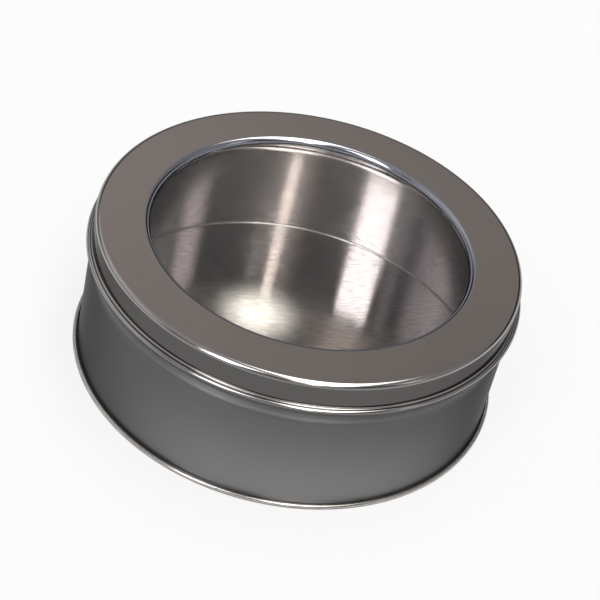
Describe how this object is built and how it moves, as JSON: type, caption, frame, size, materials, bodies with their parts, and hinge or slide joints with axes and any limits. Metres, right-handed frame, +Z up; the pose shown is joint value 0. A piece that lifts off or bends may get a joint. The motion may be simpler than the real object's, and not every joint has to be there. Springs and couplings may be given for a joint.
{
  "type": "round window lid tin",
  "caption": "Round slip-lid storage tin with a necked body, curled rim, rolled base bead and a clear window held under the rounded lip of the lid's opening.",
  "frame": {"origin": "centre of the rest face under the base bead", "axes": "+Z up the tin's axis from the base to the lid; +X to the right and +Y away from the side that the picture shows"},
  "size_m": [0.1578, 0.1578, 0.057],
  "materials": {
    "lid_tinplate": "satin",
    "clear_pane": "gloss",
    "inner_tinplate": "satin",
    "body_tinplate": "satin",
    "base_tinplate": "satin"
  },
  "bodies": {
    "tin": {"body_wall": "body_tinplate", "base_end": "base_tinplate"},
    "lid": {"lid_shell": "lid_tinplate", "window_pane": "clear_pane", "window_retainer": "inner_tinplate"}
  },
  "joints": [
    {"name": "lid_lift", "type": "slide", "parent": "tin", "child": "lid", "axis": [0, 0, 1], "range_m": [0, 0.03]}
  ]
}
